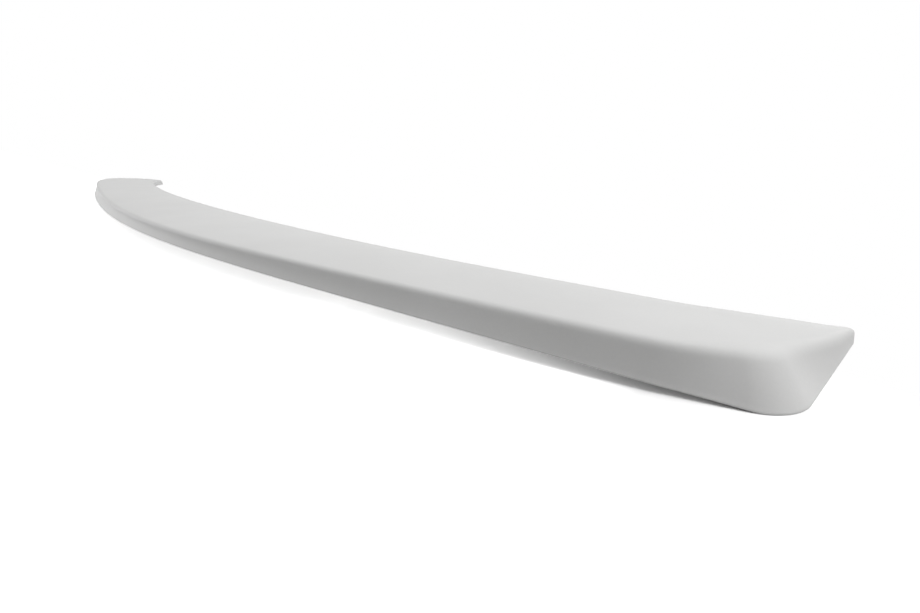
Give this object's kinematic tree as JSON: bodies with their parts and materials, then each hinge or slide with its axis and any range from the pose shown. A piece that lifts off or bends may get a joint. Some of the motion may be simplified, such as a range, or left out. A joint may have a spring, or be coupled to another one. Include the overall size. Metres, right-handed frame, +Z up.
{
  "type": "boot lid lip spoiler",
  "caption": "One-piece primed lip spoiler for a car's boot lid: a shallow swept blade with a raised rear crest, blunt bevelled ends with forward ears, and an open underside.",
  "frame": {"origin": "centre of the part at floor level: on the middle line, halfway between the rear edge and the front tips, level with the flat feet of the two ends", "axes": "+X along the blade, +Y towards the front of the car, +Z up away from the lid"},
  "size_m": [1.2, 0.2008, 0.0266],
  "materials": {
    "primer": "light grey primer, smooth and matt"
  },
  "bodies": {
    "root": {"spoiler_shell": "primer"}
  },
  "joints": []
}
